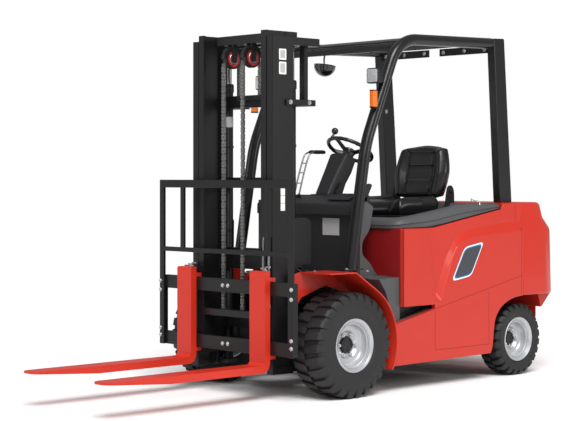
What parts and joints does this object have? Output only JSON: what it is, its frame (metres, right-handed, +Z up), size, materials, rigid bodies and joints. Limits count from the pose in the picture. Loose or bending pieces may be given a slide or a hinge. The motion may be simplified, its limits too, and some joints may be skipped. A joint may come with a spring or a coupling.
{
  "type": "counterbalance forklift truck",
  "caption": "Compact four-wheel electric counterbalance forklift with a two-stage mast, load backrest, forks, open operator's seat under an overhead guard and cast rear weight.",
  "frame": {"origin": "middle of the truck's bounding box, at floor level", "axes": "+X to the truck's left side, -Y forward along the forks, +Z up"},
  "size_m": [1.244, 3.406, 2.06],
  "materials": {
    "red_paint": "gloss",
    "dark_paint": "satin",
    "grey_plastic": "matte",
    "black_plastic": "matte",
    "mast_paint": "satin",
    "fork_paint": "satin",
    "rim_paint": "satin",
    "rubber": "matte",
    "seat_vinyl": "satin",
    "cast_grey": "rough",
    "bright_steel": "polished",
    "steel": "satin",
    "lamp_orange": "gloss",
    "lamp_red": "gloss",
    "mirror_face": "polished",
    "battery_case": "satin"
  },
  "bodies": {
    "chassis": {"frame": "dark_paint", "front_axle": "cast_grey", "rear_axle": "dark_paint", "side_panels": "red_paint", "fenders": "red_paint", "footwell": "grey_plastic", "cowl": "grey_plastic", "column_cover": "black_plastic", "battery": "battery_case", "battery_front": "red_paint", "hood": "grey_plastic", "rear_deck": "red_paint", "seat_frame": "dark_paint", "seat_cushion": "seat_vinyl", "seat_back": "seat_vinyl", "counterweight": "red_paint", "tow_pin": "steel", "guard_rails": "mast_paint", "guard_rear_legs": "mast_paint", "guard_roof": "mast_paint", "headlamps": "black_plastic", "indicators": "lamp_orange", "mirror_lamp": "mirror_face", "tail_lamps": "lamp_red", "levers": "bright_steel", "pedals": "black_plastic"},
    "front_wheel_left": {"front_tyre_left": "rubber", "front_rim_left": "rim_paint"},
    "front_wheel_right": {"front_tyre_right": "rubber", "front_rim_right": "rim_paint"},
    "knuckle_left": {"knuckle_left": "dark_paint"},
    "knuckle_right": {"knuckle_right": "dark_paint"},
    "rear_wheel_left": {"rear_tyre_left": "rubber", "rear_rim_left": "rim_paint"},
    "rear_wheel_right": {"rear_tyre_right": "rubber", "rear_rim_right": "rim_paint"},
    "steer_rod": {"steer_rod": "bright_steel"},
    "steering_wheel": {"steering_wheel": "black_plastic"},
    "mast_outer": {"mast_outer_rails": "mast_paint", "mast_outer_ties": "mast_paint", "lift_barrels": "mast_paint", "chain_back": "steel"},
    "mast_inner": {"mast_inner_rails": "mast_paint", "mast_inner_ties": "mast_paint", "lift_rods": "bright_steel", "sheaves": "steel", "chain_front": "steel"},
    "carriage": {"carriage_bars": "mast_paint", "carriage_sides": "mast_paint", "backrest": "mast_paint"},
    "fork_left": {"fork_left": "fork_paint"},
    "fork_right": {"fork_right": "fork_paint"},
    "tilt_barrels": {"tilt_barrels": "mast_paint"},
    "tilt_rods": {"tilt_rods": "bright_steel"}
  },
  "joints": [
    {"name": "front_wheel_left_spin", "type": "hinge", "parent": "chassis", "child": "front_wheel_left", "pos_m": [0.5095, -0.187, 0.291], "axis": [1, 0, 0], "continuous": true},
    {"name": "front_wheel_right_spin", "type": "hinge", "parent": "chassis", "child": "front_wheel_right", "pos_m": [-0.5095, -0.187, 0.291], "axis": [1, 0, 0], "continuous": true},
    {"name": "steer_left", "type": "hinge", "parent": "chassis", "child": "knuckle_left", "pos_m": [0.35, 1.313, 0.22], "axis": [0, 0, 1], "range_deg": [-75, 75]},
    {"name": "steer_right", "type": "hinge", "parent": "chassis", "child": "knuckle_right", "pos_m": [-0.35, 1.313, 0.22], "axis": [0, 0, 1], "range_deg": [-75, 75]},
    {"name": "rear_wheel_left_spin", "type": "hinge", "parent": "knuckle_left", "child": "rear_wheel_left", "pos_m": [0.486, 1.313, 0.22], "axis": [1, 0, 0], "continuous": true},
    {"name": "rear_wheel_right_spin", "type": "hinge", "parent": "knuckle_right", "child": "rear_wheel_right", "pos_m": [-0.486, 1.313, 0.22], "axis": [1, 0, 0], "continuous": true},
    {"name": "steer_rod_slide", "type": "slide", "parent": "chassis", "child": "steer_rod", "axis": [1, 0, 0], "range_m": [-0.06, 0.06]},
    {"name": "steering_wheel_turn", "type": "hinge", "parent": "chassis", "child": "steering_wheel", "pos_m": [0, 0.405, 1.375], "axis": [0, 0.5, 0.866], "continuous": true},
    {"name": "mast_tilt", "type": "hinge", "parent": "chassis", "child": "mast_outer", "pos_m": [0, -0.307, 0.23], "axis": [-1, 0, 0], "range_deg": [-6, 12]},
    {"name": "tilt_barrel_swing", "type": "hinge", "parent": "chassis", "child": "tilt_barrels", "pos_m": [0, 0.143, 0.54], "axis": [-1, 0, 0], "range_deg": [-6, 6]},
    {"name": "tilt_rod_slide", "type": "slide", "parent": "tilt_barrels", "child": "tilt_rods", "axis": [0, 0.913, -0.4079], "range_m": [-0.055, 0.105]},
    {"name": "mast_lift", "type": "slide", "parent": "mast_outer", "child": "mast_inner", "axis": [0, 0, 1], "range_m": [-0.07, 1.365], "deforming": ["chain_back"]},
    {"name": "carriage_lift", "type": "slide", "parent": "mast_inner", "child": "carriage", "axis": [0, 0, 1], "range_m": [-0.07, 1.365], "deforming": ["chain_front"]},
    {"name": "fork_left_shift", "type": "slide", "parent": "carriage", "child": "fork_left", "axis": [1, 0, 0], "range_m": [-0.2, 0.145]},
    {"name": "fork_right_shift", "type": "slide", "parent": "carriage", "child": "fork_right", "axis": [-1, 0, 0], "range_m": [-0.2, 0.145]}
  ],
  "couplings": [
    {"joint": "steer_right", "follows": "steer_left", "ratio": 1},
    {"joint": "steer_rod_slide", "follows": "steer_left", "m_per_rad": -0.045},
    {"joint": "tilt_barrel_swing", "follows": "mast_tilt", "ratio": 0.41},
    {"joint": "tilt_rod_slide", "follows": "mast_tilt", "m_per_rad": 0.472},
    {"joint": "carriage_lift", "follows": "mast_lift", "ratio": 1}
  ]
}
